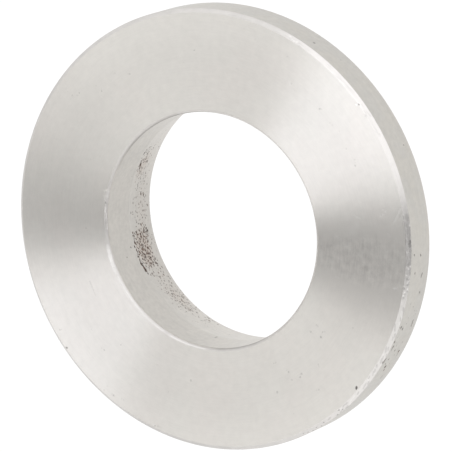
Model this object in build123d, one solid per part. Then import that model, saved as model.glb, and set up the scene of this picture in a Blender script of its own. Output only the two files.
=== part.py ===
from build123d import *
import math
import os

os.makedirs("parts", exist_ok=True)

# A ball-faced washer, in millimetres. It lies on its back: the axis is Z, the flat
# face is on top, and the origin is on the axis in the plane of the narrow land
# round the mouth of the bore at the back.

# Driving dimensions
outside_diameter = 93.5
bore_diameter = 50.0
thickness = 21.3
rim_height = 9.0  # from the flat face down to where the ball face begins
rim_chamfer = 0.85  # at 45 degrees, between the flat face and the rim
rim_round = 0.8  # between the rim and the ball face
bore_chamfer = 0.6  # at 45 degrees, between the flat face and the bore
straight_bore_depth = 9.4  # below the flat face; from there down the bore opens out
mouth_diameter = 54.0  # of the bore where it comes out at the back
land_width = 2.2  # of the flat ring between the mouth and the ball face

# Radii and heights that follow from them
rim_radius = outside_diameter / 2
bore_radius = bore_diameter / 2
mouth_radius = mouth_diameter / 2
land_radius = mouth_radius + land_width
rim_foot = thickness - rim_height

# The ball face is part of a sphere centred on the axis. It runs from the land's
# outer edge to the foot of the rim, which gives its centre and a radius of 67 mm.
ball_centre = (rim_radius**2 - land_radius**2 + rim_foot**2) / (2 * rim_foot)
ball_radius = math.hypot(land_radius, ball_centre)
arc_middle_radius = (land_radius + rim_radius) / 2
arc_middle_height = ball_centre - math.sqrt(ball_radius**2 - arc_middle_radius**2)

with BuildPart() as turned_washer:
    # Half of the section: the land, the ball face, then the rim, the flat face and
    # the bore back down to the mouth
    with BuildSketch(Plane.XZ):
        with BuildLine():
            Line((mouth_radius, 0), (land_radius, 0))
            ThreePointArc(
                (land_radius, 0),
                (arc_middle_radius, arc_middle_height),
                (rim_radius, rim_foot),
            )
            Polyline(
                (rim_radius, rim_foot),
                (rim_radius, thickness - rim_chamfer),
                (rim_radius - rim_chamfer, thickness),
                (bore_radius + bore_chamfer, thickness),
                (bore_radius, thickness - bore_chamfer),
                (bore_radius, thickness - straight_bore_depth),
                (mouth_radius, 0),
            )
        make_face()
    revolve(axis=Axis.Z)
    rim_circles = turned_washer.edges().filter_by(
        lambda edge: edge.geom_type == GeomType.CIRCLE
        and math.isclose(edge.radius, rim_radius, rel_tol=1e-6)
    )
    foot_edge = rim_circles.sort_by(Axis.Z)[0]
    fillet(foot_edge, rim_round)

washer = turned_washer.part
washer.label = "washer"
export_step(washer, "parts/washer.step")
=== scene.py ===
import math
import random

import bmesh
import bpy
from mathutils import Matrix, Vector, kdtree, noise


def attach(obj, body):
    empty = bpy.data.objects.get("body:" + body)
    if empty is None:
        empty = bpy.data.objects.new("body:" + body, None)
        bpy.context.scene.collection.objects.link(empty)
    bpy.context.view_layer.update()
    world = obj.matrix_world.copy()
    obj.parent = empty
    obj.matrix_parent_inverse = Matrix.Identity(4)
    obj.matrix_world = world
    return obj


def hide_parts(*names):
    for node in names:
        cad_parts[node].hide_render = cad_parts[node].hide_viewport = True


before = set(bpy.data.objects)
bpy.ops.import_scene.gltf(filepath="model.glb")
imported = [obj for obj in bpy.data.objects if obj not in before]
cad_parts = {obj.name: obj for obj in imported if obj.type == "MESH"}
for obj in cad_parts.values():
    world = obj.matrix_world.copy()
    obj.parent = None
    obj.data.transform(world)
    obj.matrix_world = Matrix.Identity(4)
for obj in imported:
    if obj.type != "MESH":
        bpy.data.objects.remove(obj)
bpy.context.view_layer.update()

MM = 0.001
NODE = "washer"

# The washer lies on its back with its flat face up. A bearing is in degrees about
# the axis, clockwise as the camera sees the washer, from the side nearest to it.


def on_ring(bearing, radius, height):
    """The point at a bearing, a radius and a height above the back land."""
    turn = math.radians(bearing)
    return Vector((-radius * math.sin(turn), -radius * math.cos(turn), height))


def bearing_of(point):
    """A point's bearing, from 0 to 360."""
    return math.degrees(math.atan2(-point.x, -point.y)) % 360


# The section, worked out from the solid


def read_section():
    """Corners of the solid's section, as radii and heights in metres."""
    corners = [
        (math.hypot(v.co.x, v.co.y), v.co.z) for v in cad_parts[NODE].data.vertices
    ]
    hair = 0.002 * MM
    rim_radius = max(r for r, z in corners)
    bore_radius = min(r for r, z in corners)
    top = max(z for r, z in corners)
    on_land = [r for r, z in corners if z < hair]
    on_face = [r for r, z in corners if z > top - hair]
    on_rim = [z for r, z in corners if r > rim_radius - hair]
    on_bore = [z for r, z in corners if r < bore_radius + hair]
    on_ball = [(r, z) for r, z in corners if r > max(on_land) and hair < z < 0.4 * top]
    return {
        "rim_radius": rim_radius,
        "bore_radius": bore_radius,
        "top": top,
        "mouth_radius": min(on_land),
        "land_radius": max(on_land),
        "face_inner": min(on_face),
        "face_outer": max(on_face),
        "rim_round_top": min(on_rim),
        "rim_top": max(on_rim),
        "bore_foot": min(on_bore),
        "bore_top": max(on_bore),
        "ball_point": max(on_ball),
    }


SIZE = read_section()


def ball_centre_height():
    """Height on the axis of the ball face's centre, from two points of the face."""
    radius, height = SIZE["ball_point"]
    return (radius**2 + height**2 - SIZE["land_radius"] ** 2) / (2 * height)


BALL_CENTRE = ball_centre_height()
BALL_RADIUS = math.hypot(SIZE["land_radius"], BALL_CENTRE)
RIM_FOOT = BALL_CENTRE - math.sqrt(BALL_RADIUS**2 - SIZE["rim_radius"] ** 2)

CORNERS = {
    "mouth": Vector((SIZE["mouth_radius"], 0)),
    "land edge": Vector((SIZE["land_radius"], 0)),
    "rim foot": Vector((SIZE["rim_radius"], RIM_FOOT)),
    "rim top": Vector((SIZE["rim_radius"], SIZE["rim_top"])),
    "face outer": Vector((SIZE["face_outer"], SIZE["top"])),
    "face inner": Vector((SIZE["face_inner"], SIZE["top"])),
    "bore top": Vector((SIZE["bore_radius"], SIZE["bore_top"])),
    "bore foot": Vector((SIZE["bore_radius"], SIZE["bore_foot"])),
}

# How far from each corner its small round begins
WORN_EDGE = 0.07 * MM
MACHINED_EDGE = 0.04 * MM
SETBACKS = {
    "mouth": MACHINED_EDGE,
    "land edge": MACHINED_EDGE,
    "rim foot": SIZE["rim_round_top"] - RIM_FOOT,
    "rim top": WORN_EDGE,
    "face outer": WORN_EDGE,
    "face inner": 0.12 * MM,
    "bore top": 0.25 * MM,
    "bore foot": 0.2 * MM,
}

# The mesh's second ring beside a round, and the first of the evenly spaced ones, as
# multiples of the setback
SECOND_RING = 2.2
EVEN_RINGS = 2.5

# Between the mesh's rings on the side that starts at each corner
SPACINGS = {
    "mouth": 1.1 * MM,
    "land edge": 2.0 * MM,
    "rim foot": 0.6 * MM,
    "rim top": 0.2 * MM,
    "face outer": 1.0 * MM,
    "face inner": 0.3 * MM,
    "bore top": 0.7 * MM,
    "bore foot": 0.7 * MM,
}


def straight_side(start, end):
    """A way along a straight side by the share of it passed, and its length."""
    return lambda share: start.lerp(end, share), (end - start).length


def ball_side(start, end):
    """The same for the ball face, which is an arc in the section."""
    centre = Vector((0, BALL_CENTRE))
    first = math.atan2(start.y - centre.y, start.x)
    last = math.atan2(end.y - centre.y, end.x)

    def walk(share):
        angle = first + (last - first) * share
        return centre + BALL_RADIUS * Vector((math.cos(angle), math.sin(angle)))

    return walk, BALL_RADIUS * (last - first)


def side_points(name, next_name):
    """Points on a side between its corners' rounds, closer together beside each."""
    make_side = ball_side if name == "land edge" else straight_side
    walk, length = make_side(CORNERS[name], CORNERS[next_name])
    here = SETBACKS[name] / length
    there = SETBACKS[next_name] / length
    count = max(2, round(length / SPACINGS[name]))
    steps = [step / count for step in range(1, count)]
    inner = [share for share in steps if EVEN_RINGS * here < share < 1 - EVEN_RINGS * there]
    shares = [here, SECOND_RING * here] + inner + [1 - SECOND_RING * there, 1 - there]
    return [walk(share) for share in shares]


def corner_points(before, corner, after):
    """The two points inside a corner's small round."""
    points = []
    for share in (1 / 3, 2 / 3):
        points.append(before.lerp(corner, share).lerp(corner.lerp(after, share), share))
    return points


def section_outline():
    """The closed section as (radius, height) points: land, ball face, rim, face, bore."""
    names = list(CORNERS)
    sides = [side_points(*pair) for pair in zip(names, names[1:] + names[:1])]
    outline = []
    for name, before, side in zip(names, sides[-1:] + sides[:-1], sides):
        outline += corner_points(before[-1], CORNERS[name], side[0])
        outline += side
    return outline


# Turning the washer

SECTOR_DOUBLINGS = 4
SECTOR_STEPS = 16
STEP_ANGLE = math.tau / (2**SECTOR_DOUBLINGS * SECTOR_STEPS)


def turn_washer():
    """The section spun through one sector, which is doubled until the ring closes."""
    bm = bmesh.new()
    ring = [bm.verts.new((point.x, 0, point.y)) for point in section_outline()]
    for here, there in zip(ring, ring[1:] + ring[:1]):
        bm.edges.new((here, there))
    sector = STEP_ANGLE * SECTOR_STEPS
    bmesh.ops.spin(
        bm,
        geom=bm.verts[:] + bm.edges[:],
        cent=(0, 0, 0),
        axis=(0, 0, 1),
        angle=sector,
        steps=SECTOR_STEPS,
        use_merge=False,
    )
    for doubling in range(SECTOR_DOUBLINGS):
        copy = bmesh.ops.duplicate(bm, geom=bm.verts[:] + bm.edges[:] + bm.faces[:])
        bmesh.ops.rotate(
            bm,
            cent=(0, 0, 0),
            matrix=Matrix.Rotation(sector * 2**doubling, 3, "Z"),
            verts=[item for item in copy["geom"] if isinstance(item, bmesh.types.BMVert)],
        )
    bmesh.ops.remove_doubles(bm, verts=bm.verts, dist=0.001 * MM)
    bmesh.ops.recalc_face_normals(bm, faces=bm.faces)
    return bm


# Places for marks


def on_face(bearing, radius):
    """On the flat face, at a radius in mm."""
    return on_ring(bearing, radius * MM, SIZE["top"])


def on_rim(bearing, height):
    """On the rim, at a height in mm."""
    return on_ring(bearing, SIZE["rim_radius"], height * MM)


def on_bore(bearing, height):
    """On the bore's wall at a height in mm. Below its foot the wall opens out."""
    down = max(0, 1 - height * MM / SIZE["bore_foot"])
    radius = SIZE["bore_radius"] + (SIZE["mouth_radius"] - SIZE["bore_radius"]) * down
    return on_ring(bearing, radius, height * MM)


def on_rim_chamfer(bearing, share):
    """On the outer chamfer, from the face at a share of 0 to the rim at 1."""
    place = CORNERS["face outer"].lerp(CORNERS["rim top"], share)
    return on_ring(bearing, place.x, place.y)


def on_bore_chamfer(bearing, share):
    """On the inner chamfer, from the face at a share of 0 to the bore at 1."""
    place = CORNERS["face inner"].lerp(CORNERS["bore top"], share)
    return on_ring(bearing, place.x, place.y)


# Marks: a dent, pit, scratch, stain or painted highlight has a width and a depth in mm,
# and shares from 0 to 1 of what fills it. A round one has a place, and a long one two ends.


def mark(place, width, depth, rust=0, grime=0, bright=0):
    """A round mark."""
    return streak(place, place, width, depth, rust, grime, bright)


def streak(start, end, width, depth, rust=0, grime=0, bright=0):
    """A long mark with round ends."""
    way = end - start
    return {
        "place": (start + end) / 2,
        "way": way.normalized(),
        "width": width * MM,
        "length": way.length + width * MM,
        "depth": depth * MM,
        "fill": (rust, grime, bright),
    }


def rim_marks():
    """Pits on the rim, most of them on the side that faces right in the view."""
    pits = [
        # bearing, height, width, rust
        (24.0, 19.1, 0.55, 0.2),
        (24.7, 16.3, 0.55, 0.2),
        (28.9, 18.4, 0.50, 0.2),
        (34.7, 14.9, 0.50, 0.2),
        (43.0, 20.1, 0.40, 0.1),
        (43.3, 19.4, 0.70, 0.2),
        (43.9, 18.4, 0.60, 0.2),
        (47.4, 19.9, 0.70, 0.2),
        (48.9, 19.4, 0.75, 0.3),
        (50.6, 17.5, 0.55, 0.3),
        (51.6, 15.0, 0.70, 0.6),
        (53.1, 18.3, 0.55, 0.3),
        (54.6, 18.6, 0.45, 0.5),
        (55.8, 17.7, 0.85, 0.7),
        (57.0, 17.2, 0.55, 0.6),
        (-37.8, 17.4, 0.60, 0.1),
        (-3.4, 14.5, 0.40, 0.1),
    ]
    marks = [
        mark(on_rim(bearing, height), width, 0.10, rust=rust, grime=0.6)
        for bearing, height, width, rust in pits
    ]
    marks += [
        streak(on_rim(29.7, 15.0), on_rim(30.5, 15.4), 0.45, 0.10, rust=0.2, grime=0.6),
        streak(on_rim(42.7, 14.4), on_rim(44.2, 14.4), 0.50, 0.08, rust=0.2, grime=0.45),
        streak(on_rim(52.5, 20.2), on_rim(53.6, 20.4), 0.55, 0.10, rust=0.2, grime=0.5),
    ]
    marks.append(mark(on_rim(34.7, 14.9), 2.2, 0, grime=0.10))
    draw = random.Random(7)
    for _ in range(26):
        place = on_rim(draw.uniform(36, 64), draw.uniform(13.5, 20.2))
        marks.append(mark(place, draw.uniform(0.25, 0.40), 0.04, grime=draw.uniform(0.2, 0.5)))
    return marks


def face_marks():
    """Stains, specks and fine scratches on the flat face, where the photo shows them."""
    marks = [
        streak(on_face(63.3, 45.3), on_face(63.7, 45.5), 0.50, 0.12, grime=0.9, rust=0.1),
        mark(on_face(-149.4, 36.3), 0.9, 0, grime=0.12),
        mark(on_face(-17.2, 46.0), 0.35, 0.10, grime=0.8),
        mark(on_face(-17.5, 45.5), 0.45, 0.05, bright=1.0),
        mark(on_face(-13.8, 45.9), 0.85, 0, grime=0.14),
        mark(on_face(11.8, 42.0), 0.45, 0.02, bright=0.5),
        mark(on_face(11.3, 41.5), 0.35, 0.02, bright=0.4),
        mark(on_face(12.6, 41.3), 0.45, 0.02, bright=0.5),
        mark(on_face(13.1, 40.8), 0.35, 0.02, bright=0.4),
        streak(on_face(33.2, 43.7), on_face(32.7, 44.7), 0.30, 0.03, bright=0.9),
        streak(on_face(11.6, 45.5), on_face(15.2, 43.5), 0.28, 0.02, bright=0.45),
        streak(on_face(12.8, 45.8), on_face(14.4, 44.9), 0.25, 0.02, bright=0.40),
        streak(on_face(14.8, 45.7), on_face(20.0, 45.5), 0.20, 0.02, grime=0.30),
        streak(on_face(13.8, 45.85), on_face(14.6, 45.85), 0.30, 0.03, bright=0.35),
        streak(on_face(20.2, 45.8), on_face(22.3, 45.75), 0.30, 0.03, bright=0.25),
        streak(on_face(29.6, 35.9), on_face(30.0, 37.2), 1.6, 0, grime=0.24, rust=0.05),
        streak(on_face(31.5, 40.4), on_face(31.3, 41.0), 1.9, 0, grime=0.20),
        streak(on_face(23.0, 39.6), on_face(26.4, 39.6), 1.0, 0, grime=0.16),
        mark(on_face(17.5, 33.7), 3.2, 0, bright=0.14),
        mark(on_face(15.8, 35.0), 2.0, 0, bright=0.10),
        mark(on_face(25.5, 44.4), 0.45, 0.03, grime=0.30),
    ]
    specks = [
        # bearing, radius, grime
        (-24.1, 38.3, 0.30),
        (-28.2, 37.8, 0.12),
        (-18.7, 38.1, 0.14),
        (-17.6, 38.2, 0.14),
        (-16.6, 36.5, 0.10),
        (-14.9, 38.8, 0.18),
        (-9.2, 38.1, 0.20),
        (-5.0, 38.7, 0.20),
        (-3.3, 38.2, 0.32),
        (-34.2, 37.4, 0.12),
        (-36.1, 38.1, 0.16),
        (-41.0, 42.5, 0.16),
        (-42.9, 38.7, 0.08),
        (-46.3, 34.0, 0.12),
        (-56.2, 35.4, 0.10),
        (-59.4, 33.9, 0.14),
        (-61.0, 30.2, 0.14),
        (-71.8, 38.0, 0.32),
        (-72.2, 29.7, 0.10),
        (-75.7, 38.0, 0.12),
        (-76.6, 35.6, 0.12),
        (-83.8, 35.0, 0.10),
        (-97.7, 36.8, 0.28),
        (-102.4, 38.7, 0.18),
        (-105.3, 33.9, 0.15),
        (-110.2, 37.7, 0.35),
        (-116.5, 41.1, 0.30),
        (-117.6, 41.2, 0.25),
        (-118.7, 42.0, 0.30),
        (-118.9, 43.3, 0.25),
        (-130.0, 29.6, 0.22),
        (-133.1, 31.4, 0.20),
        (168.8, 44.7, 0.35),
        (163.3, 37.8, 0.30),
        (155.6, 38.4, 0.50),
        (152.3, 34.6, 0.40),
        (148.1, 44.1, 0.20),
        (148.2, 45.3, 0.20),
        (145.1, 44.8, 0.50),
        (142.6, 44.3, 0.25),
        (136.2, 32.7, 0.20),
        (130.5, 45.5, 0.35),
        (121.5, 32.8, 0.35),
        (86.9, 36.3, 0.35),
        (82.4, 30.6, 0.20),
        (79.7, 35.4, 0.25),
        (79.4, 33.6, 0.35),
        (76.4, 35.8, 0.40),
        (75.2, 35.5, 0.35),
        (73.3, 40.2, 0.25),
        (68.0, 36.2, 0.25),
        (61.3, 30.5, 0.35),
        (59.9, 32.8, 0.45),
        (58.0, 32.5, 0.30),
        (57.4, 30.5, 0.20),
    ]
    draw = random.Random(5)
    for bearing, radius, grime in specks:
        width = draw.uniform(0.4, 0.5)
        marks.append(mark(on_face(bearing, radius), width, 0.03, grime=0.85 * grime))
        place = on_face(bearing + draw.uniform(-1, 1), radius + draw.uniform(-0.5, 0.5))
        if grime > 0.2:
            marks.append(mark(place, draw.uniform(0.3, 0.45), 0.01, grime=0.5 * grime))
    marks += [
        streak(on_face(-69.2, 42.3), on_face(-69.4, 39.2), 0.45, 0, grime=0.25),
        mark(on_face(163.8, 45.6), 0.50, 0.06, grime=0.60),
        mark(on_face(139.1, 45.9), 0.30, 0.04, grime=0.40),
        streak(on_face(178.1, 32.4), on_face(171.9, 32.5), 0.28, 0.02, grime=0.22),
        streak(on_face(162.4, 33.7), on_face(159.1, 33.6), 0.25, 0.01, grime=0.10),
        streak(on_face(162.2, 30.1), on_face(155.4, 29.7), 0.25, 0.01, grime=0.10),
    ]
    for _ in range(34):
        bearing = draw.uniform(12, 38)
        radius = draw.uniform(28, 45)
        end = on_face(bearing + draw.uniform(-1.5, 1.5), radius + draw.uniform(-1.2, 1.2))
        tint = {"bright": 0.16} if draw.random() < 0.5 else {"grime": 0.14}
        marks.append(streak(on_face(bearing, radius), end, 0.32, 0.01, **tint))
    return marks


def rim_chamfer_marks():
    """The bruised stretch of the outer chamfer, and the mottled one that follows it."""
    draw = random.Random(3)
    marks = [
        streak(on_rim_chamfer(13.5, 0.60), on_rim_chamfer(22.5, 0.60), 1.4, 0, grime=0.25),
        streak(on_rim_chamfer(19.0, 0.70), on_rim_chamfer(22.2, 0.70), 0.9, 0, grime=0.45),
        streak(on_rim_chamfer(20.1, 0.80), on_rim_chamfer(20.8, 0.75), 0.55, 0.08, grime=0.70),
        streak(on_rim_chamfer(20.8, 0.65), on_rim_chamfer(21.5, 0.80), 0.65, 0.08, grime=0.65),
    ]
    for step in range(12):
        bearing = 13.6 + 0.75 * step
        share = draw.uniform(0.45, 0.85)
        ends = on_rim_chamfer(bearing, share), on_rim_chamfer(bearing + 0.9, share)
        marks.append(streak(*ends, draw.uniform(0.5, 0.9), 0.01, grime=draw.uniform(0.15, 0.45)))
    for _ in range(16):
        bearing = draw.uniform(13.5, 29)
        share = draw.uniform(0.2, 0.9)
        ends = on_rim_chamfer(bearing, share), on_rim_chamfer(bearing + 1.2, share + 0.1)
        marks.append(streak(*ends, draw.uniform(0.35, 0.6), 0.05, grime=draw.uniform(0.05, 0.2)))
    for step in range(7):
        bearing = 13.5 + 1.5 * step
        ends = on_rim_chamfer(bearing, 0), on_rim_chamfer(bearing + 1.5, 0)
        marks.append(streak(*ends, 0.3, 0, grime=draw.uniform(0.2, 0.6)))
    for _ in range(8):
        bearing = draw.uniform(14, 23)
        ends = on_rim_chamfer(bearing, 0.1), on_rim_chamfer(bearing + 0.8, 0.3)
        marks.append(streak(*ends, 0.3, 0.02, bright=0.5))
    for step in range(6):
        bearing = 24 + 1.6 * step
        ends = on_face(bearing, 45.7), on_face(bearing + 1.5, 45.75)
        marks.append(streak(*ends, 0.45, 0, grime=0.16))
    for _ in range(16):
        bearing = draw.uniform(27, 36)
        place = on_rim_chamfer(bearing, draw.uniform(0.15, 1))
        tint = {"bright": 0.5} if draw.random() < 0.5 else {"grime": 0.3}
        marks.append(mark(place, draw.uniform(0.3, 0.6), 0.05, **tint))
    for _ in range(40):
        bearing = draw.uniform(36, 76)
        share = draw.uniform(0.1, 0.9)
        ends = on_rim_chamfer(bearing, share), on_rim_chamfer(bearing + 0.8, share + 0.15)
        tint = {"bright": 0.3} if draw.random() < 0.3 else {"grime": 0.16}
        marks.append(streak(*ends, draw.uniform(0.3, 0.5), 0.015, **tint))
    marks += [
        mark(on_rim_chamfer(57.5, 0.6), 0.5, 0.05, bright=0.5),
        mark(on_rim_chamfer(59.7, 0.4), 0.5, 0.05, bright=0.5),
        mark(on_rim_chamfer(72.0, 0.3), 0.45, 0.06, grime=0.6),
        mark(on_rim_chamfer(71.2, 0.65), 0.40, 0.06, grime=0.6),
        mark(on_rim_chamfer(73.5, 0.85), 0.40, 0.06, grime=0.5),
        mark(on_rim_chamfer(-8.0, 0.5), 0.40, 0.03, grime=0.10),
    ]
    for bearing, share in ((78, 0.5), (79.4, 0.9), (80.6, 0.6), (82.1, 0.9), (83.6, 0.7), (85, 0.5)):
        marks.append(mark(on_rim_chamfer(bearing, share), 0.35, 0.04, grime=0.45))
    for _ in range(40):
        bearing = draw.uniform(-62, -8)
        share = draw.uniform(0.0, 0.6)
        ends = on_rim_chamfer(bearing, share), on_rim_chamfer(bearing + 1, share + 0.1)
        marks.append(streak(*ends, draw.uniform(0.25, 0.45), 0, grime=draw.uniform(0.04, 0.14)))
    for bearing in (-42.6, -41.8, -41.1, -40.4):
        marks.append(mark(on_rim_chamfer(bearing, draw.uniform(0.2, 0.8)), 0.5, 0.05, bright=0.4))
    return marks


def bore_chamfer_marks():
    """Chips on the side that faces right in the view, a bright stretch from bearing 276 round to 8,
    and painted highlights along the edge from bearing 116 to 190.
    """
    draw = random.Random(13)
    marks = [
        mark(on_bore_chamfer(216.5, 0.1), 1.3, 0.05, bright=0.12),
        mark(on_bore_chamfer(213.8, 0.1), 1.3, 0.05, bright=0.12),
        mark(on_bore_chamfer(211.3, 0.2), 0.5, 0.06, grime=0.35),
    ]
    for bearing, share in ((208, 0.2), (205, 0.5), (202, 0.8), (199.5, 0.7)):
        ends = on_bore_chamfer(bearing - 1.2, share), on_bore_chamfer(bearing + 1, share)
        marks.append(streak(*ends, 0.4, 0.05, bright=0.45))
    # A painted highlight along the chamfer from bearing 116 to 136
    for step in range(9):
        bearing = 116 + 2.2 * step
        ends = on_bore_chamfer(bearing, 0.35), on_bore_chamfer(bearing + 2.2, 0.35)
        marks.append(streak(*ends, 0.6, 0, bright=0.7))
    # Broken painted highlights along the chamfer from bearing 140 to 178
    for step in range(16):
        bearing = 140 + 2.4 * step + draw.uniform(-0.6, 0.6)
        ends = on_bore_chamfer(bearing, 0.35), on_bore_chamfer(bearing + 2, 0.35)
        marks.append(streak(*ends, 0.4, 0, bright=draw.uniform(0.1, 0.5)))
    for step in range(23):
        bearing = 4 * step - 84
        ends = on_bore_chamfer(bearing, 0.5), on_bore_chamfer(bearing + 4, 0.5)
        marks.append(streak(*ends, 0.8, 0, bright=0.8))
    # A painted highlight near the face, brightest round bearing 183
    for bearing, bright in ((178, 0.3), (180.5, 0.5), (183, 0.8), (185.5, 0.7), (188, 0.4)):
        ends = on_bore_chamfer(bearing, 0.15), on_bore_chamfer(bearing + 2.5, 0.15)
        marks.append(streak(*ends, 0.8, 0.01, bright=bright))
    return marks


# The strewn pits of the bore: how far apart they stand round it and along it in mm,
# how far each strays, as a share of that, and how deep it is, as a share of its width
PIT_COLUMNS = 0.55
PIT_ROWS = 0.95
PIT_STRAY = 1.1
PIT_DEPTH = 0.2


def strewn_pits(draw, bearings, heights, kept, widths, grimes, rust):
    """Pits strewn over a stretch of the bore, of which only a share is kept."""
    across = PIT_COLUMNS * MM / SIZE["bore_radius"]
    columns = round(math.radians(bearings[1] - bearings[0]) / across)
    rows = round((heights[1] - heights[0]) / PIT_ROWS)
    pits = []
    for column in range(columns):
        for row in range(rows):
            columns_on = column + draw.uniform(0, PIT_STRAY)
            bearing = bearings[0] + math.degrees(across) * columns_on
            place = on_bore(bearing, heights[0] + PIT_ROWS * (row + draw.uniform(0, PIT_STRAY)))
            width = widths[0] + (widths[1] - widths[0]) * draw.random() ** 2
            grime = draw.uniform(*grimes)
            if draw.random() < kept:
                pits.append(mark(place, width, PIT_DEPTH * width, rust=rust, grime=grime))
    return pits


def bore_marks():
    """Rust pits: a thick cluster, a looser one, a fine trail, and stray ones between."""
    draw = random.Random(11)
    marks = strewn_pits(draw, (174, 193), (3.2, 11.4), 0.85, (0.34, 0.66), (0.6, 1), 0.75)
    marks += strewn_pits(draw, (169, 195), (1.8, 9), 0.45, (0.28, 0.50), (0.4, 0.9), 0.7)
    for bearing in (192.3, 190.7, 188.2, 186.9, 184.1, 182.8, 180.6):
        place = on_bore(bearing, draw.uniform(10.9, 11.6))
        marks.append(mark(place, draw.uniform(0.45, 0.65), 0.12, rust=0.7, grime=1.0))
    marks += [
        mark(on_bore(190.4, 2.8), 0.55, 0.10, rust=0.5, grime=0.9),
        streak(on_bore(178.2, 11.4), on_bore(176.9, 11.5), 0.55, 0.10, rust=0.6, grime=0.7),
        streak(on_bore(176.9, 11.5), on_bore(175.4, 11.0), 0.70, 0.12, rust=0.6, grime=0.8),
        streak(on_bore(175.4, 11.0), on_bore(173.6, 10.7), 0.85, 0.14, rust=0.5, grime=0.9),
        mark(on_bore(173.2, 10.6), 1.15, 0.16, rust=0.5, grime=1.0),
        mark(on_bore(171.3, 10.4), 0.60, 0.10, rust=0.4, grime=0.6),
        mark(on_bore(226.3, 9.9), 1.10, 0.18, rust=0.4, grime=1.0),
        mark(on_bore(228.4, 10.3), 0.75, 0.14, rust=0.4, grime=0.9),
        mark(on_bore(224.0, 9.6), 0.75, 0.14, rust=0.4, grime=0.9),
        mark(on_bore(233.7, 11.0), 0.95, 0.16, rust=0.3, grime=1.0),
        mark(on_bore(235.4, 10.6), 0.65, 0.12, rust=0.3, grime=0.9),
        mark(on_bore(225.9, 6.1), 0.65, 0.12, rust=0.5, grime=0.9),
        mark(on_bore(228.2, 7.6), 0.65, 0.12, rust=0.5, grime=0.9),
        mark(on_bore(208.8, 5.3), 0.65, 0.12, rust=0.5, grime=0.9),
        mark(on_bore(207.6, 3.7), 0.60, 0.12, rust=0.5, grime=0.9),
        mark(on_bore(202.1, 10.9), 0.45, 0.10, rust=0.3, grime=0.8),
        mark(on_bore(185.9, 13.2), 0.45, 0.08, rust=0.3, grime=0.8),
        mark(on_bore(182.0, 15.8), 0.40, 0.06, rust=0.2, grime=0.6),
        mark(on_bore(153.3, 3.6), 0.65, 0.08, rust=0.5, grime=0.2),
        mark(on_bore(150.0, 7.8), 0.40, 0.06, rust=0.3, grime=0.6),
        mark(on_bore(148.9, 5.2), 0.45, 0.06, rust=0.3, grime=0.5),
        mark(on_bore(146.6, 4.7), 0.45, 0.06, rust=0.3, grime=0.5),
        mark(on_bore(144.6, 2.8), 0.55, 0.08, rust=0.5, grime=0.4),
        mark(on_bore(133.9, 1.4), 0.45, 0.08, rust=0.3, grime=0.6),
        streak(on_bore(120.9, 12.4), on_bore(120.9, 13.4), 0.35, 0.04, grime=0.4),
    ]
    # A painted highlight along the bore's foot, where its wall starts to open out
    for bearing in (197, 200.5, 204, 207.5, 211):
        ends = on_bore(bearing - 2, 11.9), on_bore(bearing + 2, 11.9)
        marks.append(streak(*ends, 0.4, 0, bright=0.3))
    marks += strewn_pits(draw, (220, 236), (7.5, 11.2), 0.65, (0.32, 0.58), (0.2, 0.7), 0.3)
    marks += strewn_pits(draw, (213, 234), (4, 9), 0.45, (0.30, 0.48), (0.2, 0.6), 0.3)
    marks += strewn_pits(draw, (196, 214), (1.5, 10), 0.40, (0.30, 0.48), (0.2, 0.6), 0.35)
    marks += strewn_pits(draw, (150, 169), (1, 8), 0.7, (0.30, 0.46), (0.25, 0.6), 0.4)
    marks += strewn_pits(draw, (136, 152), (0.8, 6), 0.6, (0.30, 0.44), (0.25, 0.6), 0.35)
    for _ in range(12):
        bearing = draw.uniform(236, 254)
        height = 13.5 + 0.25 * (bearing - 236) + draw.uniform(-2.5, 2.5)
        ends = on_bore(bearing, height), on_bore(bearing + 6, height + 1.5)
        marks.append(streak(*ends, draw.uniform(0.4, 0.9), 0, bright=draw.uniform(0.1, 0.3)))
    return marks


# An outer mark without depth gets a finer mesh only where it is wider than this
WIDE_STAIN = 0.8 * MM

# How many times an edge is cut where a mark needs a finer mesh
OUTER_CUTS = 4
INNER_CUTS = 3


def refine_around(bm, marks, cuts):
    """Divides the faces that a mark reaches, so that its shape shows in the mesh."""
    faces = bm.faces[:]
    centres = kdtree.KDTree(len(faces))
    for index, face in enumerate(faces):
        centres.insert(face.calc_center_median(), index)
    centres.balance()
    reached = set()
    for each in marks:
        reach = 0.6 * each["length"] + 0.4 * MM
        for _, index, _ in centres.find_range(each["place"], reach):
            reached.add(index)
    edges = {edge for index in sorted(reached) for edge in faces[index].edges}
    bmesh.ops.subdivide_edges(bm, edges=list(edges), cuts=cuts, use_grid_fill=True)
    many_sided = [face for face in bm.faces if len(face.verts) > 4]
    bmesh.ops.triangulate(bm, faces=many_sided)


def true_up(bm):
    """Moves what lies on the flats between the spin's steps out to true circles."""
    for vert in bm.verts:
        past = math.atan2(vert.co.y, vert.co.x) % STEP_ANGLE
        outwards = math.cos(past - STEP_ANGLE / 2) / math.cos(STEP_ANGLE / 2)
        vert.co.x *= outwards
        vert.co.y *= outwards


# How ragged a mark's edge is, and how far apart its bumps are
RAGGED = 0.5
RAGGED_EVERY = 0.25 * MM

# A pit's raised lip: how wide and high it is, as shares of the pit's half width and
# depth, and how much brighter it is painted, as a painted highlight where the lip catches the light
LIP_WIDTH = 0.45
LIP_HEIGHT = 0.15
LIP_HIGHLIGHT = 0.45

# How much faster than the depth a pit's filling grows from the edge inwards
FILL_STEEPNESS = 1.8


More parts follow.
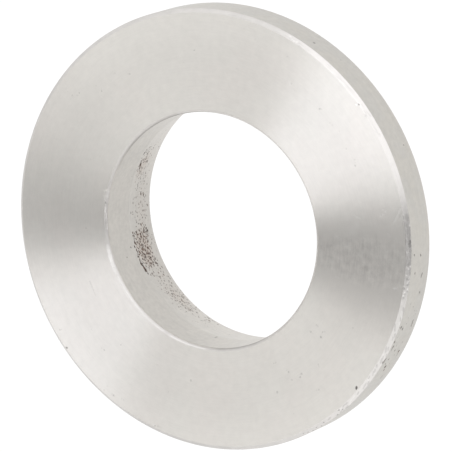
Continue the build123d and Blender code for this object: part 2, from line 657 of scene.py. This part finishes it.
def press_one(points, bm, fills, each, sink):
    """Notes one mark's depth and what fills it at the vertices that it reaches."""
    width = each["width"]
    for co, index, distance in points.find_range(each["place"], 0.8 * each["length"]):
        vert = bm.verts[index]
        along = (co - each["place"]).dot(each["way"])
        aside = math.sqrt(max(0, distance**2 - along**2))
        past_end = max(0, abs(along) - (each["length"] - width) / 2)
        ragged = 1 + RAGGED * noise.noise(co / RAGGED_EVERY)
        span = math.hypot(aside, past_end) * 2 / width * ragged
        share = 1 - span**2
        if span < 1:
            depth = each["depth"] * share
            cover = min(1, FILL_STEEPNESS * share) if depth else share * share
            fill = [part * cover for part in each["fill"]]
        else:
            lip = max(0, 1 - (span - 1) / LIP_WIDTH)
            depth = -LIP_HEIGHT * each["depth"] * lip
            # A painted highlight on the raised lip, as strong as the mark's grime
            fill = (0, 0, LIP_HIGHLIGHT * lip * each["fill"][1])
        if abs(depth) > abs(sink.get(index, 0)):
            sink[index] = depth
        vert[fills] = [max(pair) for pair in zip(vert[fills][:3], fill)] + [1]


def press_marks(bm, marks):
    """Presses each mark into the surface and notes in the mesh what fills it."""
    fills = bm.verts.layers.float_color.new("marks")
    bm.normal_update()
    bm.verts.ensure_lookup_table()
    points = kdtree.KDTree(len(bm.verts))
    for vert in bm.verts:
        vert[fills] = (0, bore_edge_dark_line(vert.co), 0, 1)
        points.insert(vert.co, vert.index)
    points.balance()
    sink = {}
    for each in marks:
        press_one(points, bm, fills, each, sink)
    for index, depth in sink.items():
        vert = bm.verts[index]
        vert.co -= vert.normal * depth


def near(value, middle, reach):
    """1 at the middle, falling smoothly to 0 at the reach."""
    share = max(0, 1 - abs(value - middle) / reach)
    return share * share * (3 - 2 * share)


# Darker along the bore's edge on two stretches: how dark, and how far it reaches
EDGE_DARKNESS = 0.4
EDGE_DARKNESS_REACH = 0.5 * MM


def bore_edge_dark_line(place):
    """The dark line along the edge of the bore, on two stretches of it."""
    corner = CORNERS["bore top"]
    off = math.hypot(place.xy.length - corner.x, place.z - corner.y)
    bearing = bearing_of(place)
    stretch = max(near(bearing, 262, 44), near(bearing, 97, 26))
    return EDGE_DARKNESS * min(1, 1.6 * stretch) * near(off, 0, EDGE_DARKNESS_REACH)


def rust_bloom(bearing, height):
    """How thick the fine rust specks stand on the bore's wall, from 0 to 1."""
    thick = 1.3 * near(bearing, 183, 15) * near(height, 7, 5.5)
    loose = 0.6 * near(bearing, 225, 13) * near(height, 8, 5.5)
    trail = 0.4 * near(bearing, 155, 20) * near(height, 4, 6)
    stray = 0.3 * near(bearing, 190, 80) * near(height, 5, 6.5)
    return min(1, max(thick, loose, trail, stray))


def face_film_and_shade(bearing, radius):
    """How much the flat face is darkened: partly a real mottled film, partly painted shade on the dark
    sheen wedge at the right, with a painted highlight along the outer edge where least is put on.
    """
    across = (radius - SIZE["face_inner"]) / (SIZE["face_outer"] - SIZE["face_inner"])
    # A faint darkening over the face, left off near its outer edge, which paints a highlight along it
    everywhere = 0.045 * (1 - near(across, 1, 0.5))
    # Painted shade deepening the dark sheen wedge on the right, over a real mottled film there
    right = 0.16 * near(bearing, 27, 24) * (0.95 + 0.3 * across)
    # Darker round bearings 160 and 238
    low = 0.07 * near(bearing, 160, 40)
    left = 0.055 * near(bearing, 238, 26)
    return everywhere + max(right, low, left)


# How far off a surface a face or a point may lie and still belong to it
EDGE_SLACK = 0.2 * MM


def note_films(bm):
    """Notes in the mesh where the rust has bloomed, and how much the flat face is darkened by film and
    painted shade.
    """
    bloom = bm.verts.layers.float.new("rust_bloom")
    film = bm.verts.layers.float.new("film")
    for vert in bm.verts:
        bearing = bearing_of(vert.co)
        vert[film] = face_film_and_shade(bearing, vert.co.xy.length)
        if vert.co.xy.length < SIZE["mouth_radius"] + EDGE_SLACK:
            vert[bloom] = rust_bloom(bearing, vert.co.z / MM)


def surface_of(face):
    """Which of the washer's surfaces a face belongs to."""
    centre = face.calc_center_median()
    radius = centre.xy.length
    inner = radius < (SIZE["bore_radius"] + SIZE["rim_radius"]) / 2
    on_top = centre.z > SIZE["top"] - EDGE_SLACK
    if on_top and SIZE["face_inner"] < radius < SIZE["face_outer"]:
        return "flat face"
    if inner and centre.z > SIZE["bore_top"]:
        return "bore chamfer"
    if not inner and centre.z > SIZE["rim_top"]:
        return "rim chamfer"
    if not inner and centre.z > RIM_FOOT - SETBACKS["rim foot"]:
        return "rim"
    if radius < SIZE["mouth_radius"]:
        return "bore"
    return "back"


def make_washer(finishes):
    """The whole washer, with each surface given its finish."""
    bm = turn_washer()
    outer_marks = rim_marks() + face_marks() + rim_chamfer_marks() + bore_chamfer_marks()
    inner_marks = bore_marks()
    shaped = [each for each in outer_marks if each["depth"] or each["width"] > WIDE_STAIN]
    refine_around(bm, shaped, OUTER_CUTS)
    refine_around(bm, inner_marks, INNER_CUTS)
    true_up(bm)
    places = list(finishes)
    for face in bm.faces:
        face.smooth = True
        face.material_index = places.index(surface_of(face))
    note_films(bm)
    press_marks(bm, outer_marks + inner_marks)
    mesh = bpy.data.meshes.new("turned_washer")
    bm.to_mesh(mesh)
    bm.free()
    for material in finishes.values():
        mesh.materials.append(material)
    washer = bpy.data.objects.new("turned_washer", mesh)
    bpy.context.scene.collection.objects.link(washer)
    return washer


# Node helpers


def feed(tree, source, socket):
    """Links an output to a socket, or sets the socket to a plain value."""
    if isinstance(source, bpy.types.NodeSocket):
        tree.links.new(source, socket)
    else:
        socket.default_value = source


def sum_node(tree, operation, *sources):
    """The output of a Math node with the sources at its inputs."""
    node = tree.nodes.new("ShaderNodeMath")
    node.operation = operation
    for source, socket in zip(sources, node.inputs):
        feed(tree, source, socket)
    return node.outputs["Value"]


def mix_colours(tree, share, first, second):
    """The first colour at a share of 0, and the second at 1."""
    node = tree.nodes.new("ShaderNodeMix")
    node.data_type = "RGBA"
    feed(tree, share, node.inputs["Factor"])
    feed(tree, first, node.inputs[6])
    feed(tree, second, node.inputs[7])
    return node.outputs[2]


def mix_values(tree, share, first, second):
    """The first value at a share of 0, and the second at 1."""
    node = tree.nodes.new("ShaderNodeMix")
    feed(tree, share, node.inputs["Factor"])
    feed(tree, first, node.inputs["A"])
    feed(tree, second, node.inputs["B"])
    return node.outputs["Result"]


def scaled(tree, vector, factor):
    """A vector or colour times a factor."""
    node = tree.nodes.new("ShaderNodeVectorMath")
    node.operation = "SCALE"
    feed(tree, vector, node.inputs[0])
    feed(tree, factor, node.inputs["Scale"])
    return node.outputs["Vector"]


def noise_value(tree, vector, scale, detail, roughness=0.5):
    """Soft noise around 0.5."""
    node = tree.nodes.new("ShaderNodeTexNoise")
    feed(tree, vector, node.inputs["Vector"])
    feed(tree, scale, node.inputs["Scale"])
    node.inputs["Detail"].default_value = detail
    node.inputs["Roughness"].default_value = roughness
    return node.outputs["Fac"]


def ramp_between(tree, value, low, high):
    """0 below low and 1 above high, smoothly between."""
    node = tree.nodes.new("ShaderNodeMapRange")
    node.interpolation_type = "SMOOTHSTEP"
    feed(tree, value, node.inputs["Value"])
    feed(tree, low, node.inputs["From Min"])
    feed(tree, high, node.inputs["From Max"])
    return node.outputs["Result"]


def object_place(tree):
    """The point's place on the washer itself, so that every view shows the same."""
    return tree.nodes.new("ShaderNodeTexCoord").outputs["Object"]


def new_group(name, inputs, outputs):
    """A node group with its named inputs and outputs, empty inside."""
    tree = bpy.data.node_groups.new(name, "ShaderNodeTree")
    for socket_name, kind, value in inputs:
        socket = tree.interface.new_socket(
            name=socket_name, in_out="INPUT", socket_type="NodeSocket" + kind
        )
        socket.default_value = value
    for socket_name, kind in outputs:
        tree.interface.new_socket(
            name=socket_name, in_out="OUTPUT", socket_type="NodeSocket" + kind
        )
    entry = tree.nodes.new("NodeGroupInput")
    way_out = tree.nodes.new("NodeGroupOutput")
    return tree, entry.outputs, way_out.inputs


def use_group(tree, group, **values):
    """A node of the group; an input's name is written with _ for its spaces."""
    node = tree.nodes.new("ShaderNodeGroup")
    node.node_tree = group
    for name, value in values.items():
        feed(tree, value, node.inputs[name.replace("_", " ")])
    return node.outputs


# Effects that the finishes share

# How much of the height counts as radius in the rings, so that walls have them too
RINGS_UP_WALLS = 0.37


def make_turning_marks():
    """Fine rings left by the tool, broken up round the washer. Spacing is in metres."""
    tree, given, out = new_group(
        "turning marks",
        [("Spacing", "Float", 0.3 * MM), ("Sweep", "Float", 3.0)],
        [("Value", "Float")],
    )
    split = tree.nodes.new("ShaderNodeSeparateXYZ")
    feed(tree, object_place(tree), split.inputs["Vector"])
    x, y, z = split.outputs
    squares = sum_node(tree, "ADD", sum_node(tree, "MULTIPLY", x, x), sum_node(tree, "MULTIPLY", y, y))
    radius = sum_node(tree, "SQRT", squares)
    outwards = sum_node(tree, "MULTIPLY_ADD", z, RINGS_UP_WALLS, radius)
    rings = sum_node(tree, "DIVIDE", outwards, given["Spacing"])
    sweep = sum_node(tree, "DIVIDE", given["Sweep"], radius)
    join = tree.nodes.new("ShaderNodeCombineXYZ")
    feed(tree, rings, join.inputs["X"])
    feed(tree, sum_node(tree, "MULTIPLY", x, sweep), join.inputs["Y"])
    feed(tree, sum_node(tree, "MULTIPLY", y, sweep), join.inputs["Z"])
    streaks = noise_value(tree, join.outputs["Vector"], 1.0, 4, 0.65)
    feed(tree, sum_node(tree, "SUBTRACT", streaks, 0.5), out["Value"])
    return tree


def make_patches():
    """Soft cloudy patches, above and below 0. Size is in metres."""
    tree, given, out = new_group("patches", [("Size", "Float", 8 * MM)], [("Value", "Float")])
    scale = sum_node(tree, "DIVIDE", 1.0, given["Size"])
    clouds = noise_value(tree, object_place(tree), scale, 4, 0.55)
    feed(tree, sum_node(tree, "SUBTRACT", clouds, 0.5), out["Value"])
    return tree


def make_specks():
    """Small round specks of uneven size, strewn at random over a share of places."""
    tree, given, out = new_group(
        "specks",
        [("Spacing", "Float", 1 * MM), ("Share", "Float", 0.2), ("Size", "Float", 0.3)],
        [("Mask", "Float")],
    )
    cells = tree.nodes.new("ShaderNodeTexVoronoi")
    feed(tree, object_place(tree), cells.inputs["Vector"])
    feed(tree, sum_node(tree, "DIVIDE", 1.0, given["Spacing"]), cells.inputs["Scale"])
    draws = tree.nodes.new("ShaderNodeSeparateColor")
    feed(tree, cells.outputs["Color"], draws.inputs["Color"])
    size_drawn = sum_node(tree, "ADD", draws.outputs["Green"], 0.4)
    edge = sum_node(tree, "MULTIPLY", given["Size"], size_drawn)
    within = sum_node(tree, "SUBTRACT", edge, cells.outputs["Distance"])
    inside = ramp_between(tree, within, 0.0, 0.12)
    kept = sum_node(tree, "LESS_THAN", draws.outputs["Red"], given["Share"])
    feed(tree, sum_node(tree, "MULTIPLY", inside, kept), out["Mask"])
    return tree


# What fills the marks. The dark fill also paints shade on the flat face, and the pale fill paints
# highlights.
GRIME_AND_SHADE = (0.085, 0.080, 0.075, 1)
SCUFF_AND_HIGHLIGHT = (0.93, 0.91, 0.89, 1)
DARK_RUST = (0.050, 0.027, 0.017, 1)
LIGHT_RUST = (0.20, 0.095, 0.050, 1)


def make_worn_steel():
    """Steel with what has marked it, and painted shade and highlights: the marks in the mesh, and
    masks given from outside.
    """
    tree, given, out = new_group(
        "worn steel",
        [
            ("Steel", "Color", (0.7, 0.7, 0.7, 1)),
            ("Roughness", "Float", 0.4),
            ("Rust", "Float", 0.0),
            ("Grime", "Float", 0.0),
        ],
        [("Color", "Color"), ("Roughness", "Float"), ("Metallic", "Float")],
    )
    marks = tree.nodes.new("ShaderNodeAttribute")
    marks.attribute_name = "marks"
    fills = tree.nodes.new("ShaderNodeSeparateColor")
    feed(tree, marks.outputs["Color"], fills.inputs["Color"])
    rust = sum_node(tree, "MAXIMUM", fills.outputs["Red"], given["Rust"])
    grime = sum_node(tree, "MAXIMUM", fills.outputs["Green"], given["Grime"])
    # The pale fill: scuffs, and painted highlights on pit lips and on chamfer and bore edges
    scuff_and_highlight = sum_node(tree, "MULTIPLY", fills.outputs["Blue"], 0.8)
    browns = mix_colours(
        tree,
        ramp_between(tree, noise_value(tree, object_place(tree), 1 / (0.5 * MM), 2), 0.42, 0.62),
        DARK_RUST,
        LIGHT_RUST,
    )
    colour = mix_colours(tree, scuff_and_highlight, given["Steel"], SCUFF_AND_HIGHLIGHT)
    colour = mix_colours(tree, grime, colour, GRIME_AND_SHADE)
    colour = mix_colours(tree, rust, colour, browns)
    feed(tree, colour, out["Color"])
    covered = sum_node(tree, "MAXIMUM", rust, sum_node(tree, "MULTIPLY", grime, 0.8))
    feed(tree, mix_values(tree, covered, given["Roughness"], 0.75), out["Roughness"])
    feed(tree, sum_node(tree, "MULTIPLY_ADD", covered, -0.9, 1.0), out["Metallic"])
    return tree


TURNING_MARKS = make_turning_marks()
PATCHES = make_patches()
SPECKS = make_specks()
WORN_STEEL = make_worn_steel()

# Finishes

# Turns the stretched highlights of the shader across the tool's rings
ACROSS_THE_RINGS = 0.25

# Metal colours: the faces that a tool has cut cleanly, the rim, the bore, the chamfers
FACED_WARM = (0.742, 0.715, 0.677)
FACED_COOL = (0.738, 0.717, 0.678)
RIM_WARM = (0.717, 0.690, 0.640)
RIM_COOL = (0.712, 0.690, 0.648)
BORED = (0.727, 0.699, 0.655)
BORE_FILM = (0.632, 0.538, 0.470)
BRUISED = (0.715, 0.693, 0.670)


def turned_steel(name, anisotropy):
    """A new steel whose highlights stretch across the tool's rings."""
    steel = bpy.data.materials.new(name)
    steel.use_nodes = True
    tree = steel.node_tree
    shader = tree.nodes["Principled BSDF"]
    shader.inputs["Anisotropic"].default_value = anisotropy
    shader.inputs["Anisotropic Rotation"].default_value = ACROSS_THE_RINGS
    tangent = tree.nodes.new("ShaderNodeTangent")
    tangent.direction_type = "RADIAL"
    tangent.axis = "Z"
    feed(tree, tangent.outputs["Tangent"], shader.inputs["Tangent"])
    return steel, tree, shader


def tone(tree, colour, *shares):
    """The colour, lighter and darker by values above and below 0 times their strength."""
    level = 1.0
    for value, strength in shares:
        level = sum_node(tree, "MULTIPLY_ADD", value, strength, level)
    return scaled(tree, colour, level)


def wear(tree, shader, colour, roughness, rust, grime):
    """Gives the shader the steel with its marks on it."""
    worn = use_group(
        tree, WORN_STEEL, Steel=colour, Roughness=roughness, Rust=rust, Grime=grime
    )
    feed(tree, worn["Color"], shader.inputs["Base Color"])
    feed(tree, worn["Roughness"], shader.inputs["Roughness"])
    feed(tree, worn["Metallic"], shader.inputs["Metallic"])


def raise_bump(tree, shader, height, distance):
    """Raises the surface in the light by a height times a distance in metres."""
    bump = tree.nodes.new("ShaderNodeBump")
    bump.inputs["Distance"].default_value = distance
    feed(tree, height, bump.inputs["Height"])
    feed(tree, bump.outputs["Normal"], shader.inputs["Normal"])


def mesh_value(tree, name):
    """A number that the mesh holds at each point."""
    attribute = tree.nodes.new("ShaderNodeAttribute")
    attribute.attribute_name = name
    return attribute.outputs["Fac"]


def make_face_steel():
    """Faced steel, darkened where the mesh says: a mottled film, with painted shade over the dark
    sheen wedge and a painted highlight along the outer edge.
    """
    steel, tree, shader = turned_steel("faced steel", 1.0)
    rings = use_group(tree, TURNING_MARKS, Spacing=0.35 * MM, Sweep=9.0)["Value"]
    clouds = use_group(tree, PATCHES, Size=9 * MM)["Value"]
    mottle = use_group(tree, PATCHES, Size=1.5 * MM)["Value"]
    tint = use_group(tree, PATCHES, Size=16 * MM)["Value"]
    specks = use_group(tree, SPECKS, Spacing=1.6 * MM, Share=0.05, Size=0.12)["Mask"]
    tint = ramp_between(tree, tint, -0.12, 0.12)
    tinted = mix_colours(tree, tint, FACED_COOL + (1,), FACED_WARM + (1,))
    colour = tone(tree, tinted, (rings, 0.09), (clouds, 0.14), (mottle, 0.12))
    roughness = sum_node(tree, "MULTIPLY_ADD", clouds, 0.12, 0.40)
    # The face's film from the mesh, which also carries painted shade and a painted highlight
    film = mesh_value(tree, "film")
    thick = ramp_between(tree, film, 0.12, 0.205)
    uneven = sum_node(tree, "MULTIPLY_ADD", mottle, 1.4, rings)
    blotches = sum_node(tree, "MULTIPLY", uneven, sum_node(tree, "MULTIPLY", thick, 2.2))
    film = sum_node(tree, "MULTIPLY", film, sum_node(tree, "ADD", blotches, 1.0))
    grime = sum_node(tree, "MAXIMUM", film, sum_node(tree, "MULTIPLY", specks, 0.3))
    wear(tree, shader, colour, roughness, 0.0, grime)
    raise_bump(tree, shader, rings, 0.004 * MM)
    return steel


def make_chamfer_steel(name, anisotropy, lightness, roughness):
    """Bruised steel for a chamfer, with faint rings."""
    steel, tree, shader = turned_steel(name, anisotropy)
    rings = use_group(tree, TURNING_MARKS, Spacing=0.15 * MM, Sweep=4.0)["Value"]
    clouds = use_group(tree, PATCHES, Size=2.5 * MM)["Value"]
    colour = tone(tree, [lightness * part for part in BRUISED], (rings, 0.15), (clouds, 0.25))
    roughness = sum_node(tree, "MULTIPLY_ADD", clouds, 0.2, roughness)
    wear(tree, shader, colour, roughness, 0.0, 0.0)
    raise_bump(tree, shader, clouds, 0.05 * MM)
    return steel


def make_rim_steel():
    """The rim's steel, stained in places, with a few small specks."""
    steel, tree, shader = turned_steel("rim steel", 0.4)
    rings = use_group(tree, TURNING_MARKS, Spacing=0.4 * MM, Sweep=2.0)["Value"]
    clouds = use_group(tree, PATCHES, Size=6 * MM)["Value"]
    mottle = use_group(tree, PATCHES, Size=1.2 * MM)["Value"]
    specks = use_group(tree, SPECKS, Spacing=1.8 * MM, Share=0.10, Size=0.14)["Mask"]
    tint = ramp_between(tree, clouds, -0.12, 0.12)
    tinted = mix_colours(tree, tint, RIM_COOL + (1,), RIM_WARM + (1,))
    colour = tone(tree, tinted, (rings, 0.12), (clouds, 0.08), (mottle, 0.22))
    roughness = sum_node(tree, "MULTIPLY_ADD", clouds, 0.15, 0.32)
    wear(tree, shader, colour, roughness, 0.0, sum_node(tree, "MULTIPLY", specks, 0.4))
    raise_bump(tree, shader, rings, 0.006 * MM)
    return steel


def make_bore_steel():
    """Bored steel with fine rust specks where the mesh says that rust has bloomed."""
    steel, tree, shader = turned_steel("bored steel", 0.5)
    rings = use_group(tree, TURNING_MARKS, Spacing=0.3 * MM, Sweep=2.0)["Value"]
    clouds = use_group(tree, PATCHES, Size=4 * MM)["Value"]
    mottle = use_group(tree, PATCHES, Size=1.0 * MM)["Value"]
    bloom = mesh_value(tree, "rust_bloom")
    fine = use_group(tree, SPECKS, Spacing=0.45 * MM, Share=bloom, Size=0.36)["Mask"]
    thinner = sum_node(tree, "MULTIPLY", bloom, 0.6)
    coarse = use_group(tree, SPECKS, Spacing=0.9 * MM, Share=thinner, Size=0.34)["Mask"]
    specks = sum_node(tree, "MAXIMUM", fine, coarse)
    film = sum_node(tree, "MULTIPLY", ramp_between(tree, bloom, 0.0, 0.9), 0.6)
    steel_colour = mix_colours(tree, film, BORED + (1,), BORE_FILM + (1,))
    colour = tone(tree, steel_colour, (rings, 0.10), (clouds, 0.16), (mottle, 0.22))
    roughness = sum_node(tree, "MULTIPLY_ADD", clouds, 0.15, 0.36)
    wear(tree, shader, colour, roughness, sum_node(tree, "MULTIPLY", specks, 0.6), 0.0)
    height = sum_node(tree, "MULTIPLY_ADD", specks, -6.0, rings)
    raise_bump(tree, shader, height, 0.008 * MM)
    return steel


def make_back_steel():
    """The ball face and the land, finer than the rest, as where they seat."""
    steel, tree, shader = turned_steel("ball face steel", 0.7)
    rings = use_group(tree, TURNING_MARKS, Spacing=0.3 * MM, Sweep=2.5)["Value"]
    clouds = use_group(tree, PATCHES, Size=8 * MM)["Value"]
    mottle = use_group(tree, PATCHES, Size=1.5 * MM)["Value"]
    colour = tone(tree, FACED_COOL, (rings, 0.08), (clouds, 0.12), (mottle, 0.10))
    roughness = sum_node(tree, "MULTIPLY_ADD", clouds, 0.12, 0.34)
    wear(tree, shader, colour, roughness, 0.0, 0.0)
    raise_bump(tree, shader, rings, 0.004 * MM)
    return steel


# The studio

# The camera that was fitted to the photo: how high it looks from, how it is rolled,
# how far off it is, and the point that it looks at
CAMERA_ELEVATION = math.radians(58.29)
CAMERA_ROLL = math.radians(-110.29)
CAMERA_DISTANCE = 0.90744
CAMERA_AIM = Vector((-0.00017, -0.00424, SIZE["top"]))
LENS_MM = 348.5
SENSOR_MM = 36


def place_camera():
    """The camera of the photo, which looks down at the washer from the front."""
    data = bpy.data.cameras.new("camera")
    data.sensor_width = SENSOR_MM
    data.lens = LENS_MM
    data.clip_start = 0.01
    data.clip_end = 10
    camera = bpy.data.objects.new("camera", data)
    bpy.context.scene.collection.objects.link(camera)
    towards_camera = Vector((0, -math.cos(CAMERA_ELEVATION), math.sin(CAMERA_ELEVATION)))
    tip = Matrix.Rotation(math.pi / 2 - CAMERA_ELEVATION, 4, "X")
    roll = Matrix.Rotation(CAMERA_ROLL, 4, "Z")
    place = Matrix.Translation(CAMERA_AIM + towards_camera * CAMERA_DISTANCE)
    camera.matrix_world = place @ tip @ roll
    bpy.context.scene.camera = camera


FLOOR_SIZE = 1.5

# The floor's brightness to the eye, and in the steel: under the bore's middle, to the
# sides of it, and outside the washer
FLOOR_SEEN = 1.05
FLOOR_UNDER_BORE = 0.78
FLOOR_BESIDE_BORE = 0.93
FLOOR_MIRRORED = 0.81

# The shade under the bore: its middle, and as multiples of the mouth's radius, where its
# fading sideways begins and ends and where its fading outwards begins
BORE_SHADE_MIDDLE = 3 * MM
SHADE_SIDEWAYS = (0.18, 0.75)
SHADE_OUTWARDS = 1.1


def lay_floor():
    """A plain pale floor, evenly bright to the eye; in the steel it is less bright, with a painted
    shade under the bore.
    """
    bm = bmesh.new()
    bmesh.ops.create_grid(bm, x_segments=1, y_segments=1, size=FLOOR_SIZE)
    mesh = bpy.data.meshes.new("floor")
    bm.to_mesh(mesh)
    bm.free()
    floor = bpy.data.objects.new("floor", mesh)
    bpy.context.scene.collection.objects.link(floor)
    pale = bpy.data.materials.new("pale floor")
    pale.use_nodes = True
    tree = pale.node_tree
    shader = tree.nodes["Principled BSDF"]
    shader.inputs["Base Color"].default_value = (0, 0, 0, 1)
    shader.inputs["Specular IOR Level"].default_value = 0
    shader.inputs["Emission Color"].default_value = (1, 1, 1, 1)
    place = object_place(tree)
    out = tree.nodes.new("ShaderNodeVectorMath")
    out.operation = "LENGTH"
    feed(tree, place, out.inputs[0])
    split = tree.nodes.new("ShaderNodeSeparateXYZ")
    feed(tree, place, split.inputs["Vector"])
    from_middle = sum_node(tree, "SUBTRACT", split.outputs["X"], BORE_SHADE_MIDDLE)
    aside = sum_node(tree, "ABSOLUTE", from_middle)
    mouth = SIZE["mouth_radius"]
    beside = ramp_between(tree, aside, *[share * mouth for share in SHADE_SIDEWAYS])
    outside = ramp_between(tree, out.outputs["Value"], SHADE_OUTWARDS * mouth, SIZE["rim_radius"])
    inside = mix_values(tree, beside, FLOOR_UNDER_BORE, FLOOR_BESIDE_BORE)
    mirrored = mix_values(tree, outside, inside, FLOOR_MIRRORED)
    seen = tree.nodes.new("ShaderNodeLightPath").outputs["Is Camera Ray"]
    level = mix_values(tree, seen, mirrored, FLOOR_SEEN)
    feed(tree, level, shader.inputs["Emission Strength"])
    mesh.materials.append(pale)


# The tent's brightness by its bearing round the direction in which the flat face
# mirrors the camera: brightest from 330 to 5, beside a dark gap from 11 to 44, and
# opposite them a lighter band round 160, beside a slightly darker one round 200
TENT = [
    # bearing, level
    (0, 1.98),
    (5, 1.52),
    (11, 0.70),
    (16, 0.40),
    (34, 0.40),
    (44, 0.85),
    (52, 1.25),
    (66, 1.30),
    (80, 1.22),
    (120, 1.08),
    (140, 1.00),
    (147, 1.22),
    (154, 1.26),
    (174, 1.26),
    (186, 0.98),
    (196, 0.96),
    (212, 0.97),
    (224, 1.00),
    (236, 1.08),
    (300, 1.16),
    (319, 1.02),
    (325, 1.40),
    (330, 1.95),
    (350, 1.95),
    (360, 1.98),
]

# The same low down on the camera's side, which the outer chamfer mirrors
TENT_LOW = [
    # bearing, level
    (0, 1.40),
    (6, 1.36),
    (10, 1.10),
    (12, 0.60),
    (14, 0.28),
    (22, 0.20),
    (26, 0.48),
    (31, 0.85),
    (36, 1.14),
    (46, 1.27),
    (60, 1.27),
    (80, 1.13),
    (300, 1.14),
    (312, 1.12),
    (320, 1.36),
    (328, 1.56),
    (346, 1.40),
    (360, 1.40),
]

# How far from the flat face's mirror direction the low part begins and is whole
LOW_BEGINS = 1.0
LOW_FULL = 1.25

# The tent's highest level, and where its blue cast begins, with the most that the
# cast takes from red and adds to blue
BRIGHTEST = 2.12
COOL_ABOVE = 1.3
RED_TAKEN = 0.01
BLUE_ADDED = 0.06


def tent_colour(level):
    """White, with a slight blue cast where the tent is brightest."""
    cast = max(0, level - COOL_ABOVE) / (BRIGHTEST - COOL_ABOVE)
    white = level / BRIGHTEST
    return [white * (1 - RED_TAKEN * cast), white, white * (1 + BLUE_ADDED * cast), 1]


def tent_light(tree, share, levels):
    """The light at a share of a turn, from a list of bearings and levels."""
    ramp = tree.nodes.new("ShaderNodeValToRGB")
    feed(tree, share, ramp.inputs["Fac"])
    stops = ramp.color_ramp.elements
    while len(stops) > 1:
        stops.remove(stops[-1])
    for index, (place, level) in enumerate(levels):
        stop = stops[0] if index == 0 else stops.new(place / 360)
        stop.position = place / 360
        stop.color = tent_colour(level)
    return ramp.outputs["Color"]


def light_room():
    """A white light tent round the washer, seen as plain white by the camera."""
    world = bpy.data.worlds.new("light tent")
    bpy.context.scene.world = world
    world.use_nodes = True
    tree = world.node_tree
    split = tree.nodes.new("ShaderNodeSeparateXYZ")
    feed(tree, tree.nodes.new("ShaderNodeTexCoord").outputs["Generated"], split.inputs["Vector"])
    across = sum_node(tree, "MULTIPLY", split.outputs["X"], -1.0)
    along = sum_node(tree, "SUBTRACT", math.cos(CAMERA_ELEVATION), split.outputs["Y"])
    bearing = sum_node(tree, "ARCTAN2", across, along)
    whole_turns = sum_node(tree, "DIVIDE", bearing, math.tau)
    share = sum_node(tree, "FRACT", sum_node(tree, "ADD", whole_turns, 1.0))
    squares = sum_node(tree, "MULTIPLY", across, across)
    reach = sum_node(tree, "SQRT", sum_node(tree, "MULTIPLY_ADD", along, along, squares))
    light = mix_colours(
        tree,
        ramp_between(tree, reach, LOW_BEGINS, LOW_FULL),
        tent_light(tree, share, TENT),
        tent_light(tree, share, TENT_LOW),
    )
    seen = tree.nodes.new("ShaderNodeLightPath").outputs["Is Camera Ray"]
    shown = mix_colours(tree, seen, scaled(tree, light, BRIGHTEST), (1, 1, 1, 1))
    feed(tree, shown, tree.nodes["Background"].inputs["Color"])
    bpy.context.scene.view_settings.view_transform = "Standard"


FINISHES = {
    "flat face": make_face_steel(),
    "rim chamfer": make_chamfer_steel("worn chamfer steel", 0.6, 0.98, 0.36),
    "rim": make_rim_steel(),
    "bore chamfer": make_chamfer_steel("bore chamfer steel", 0.3, 0.93, 0.55),
    "bore": make_bore_steel(),
    "back": make_back_steel(),
}

washer = make_washer(FINISHES)
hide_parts(NODE)
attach(washer, "root")
lay_floor()
light_room()
place_camera()
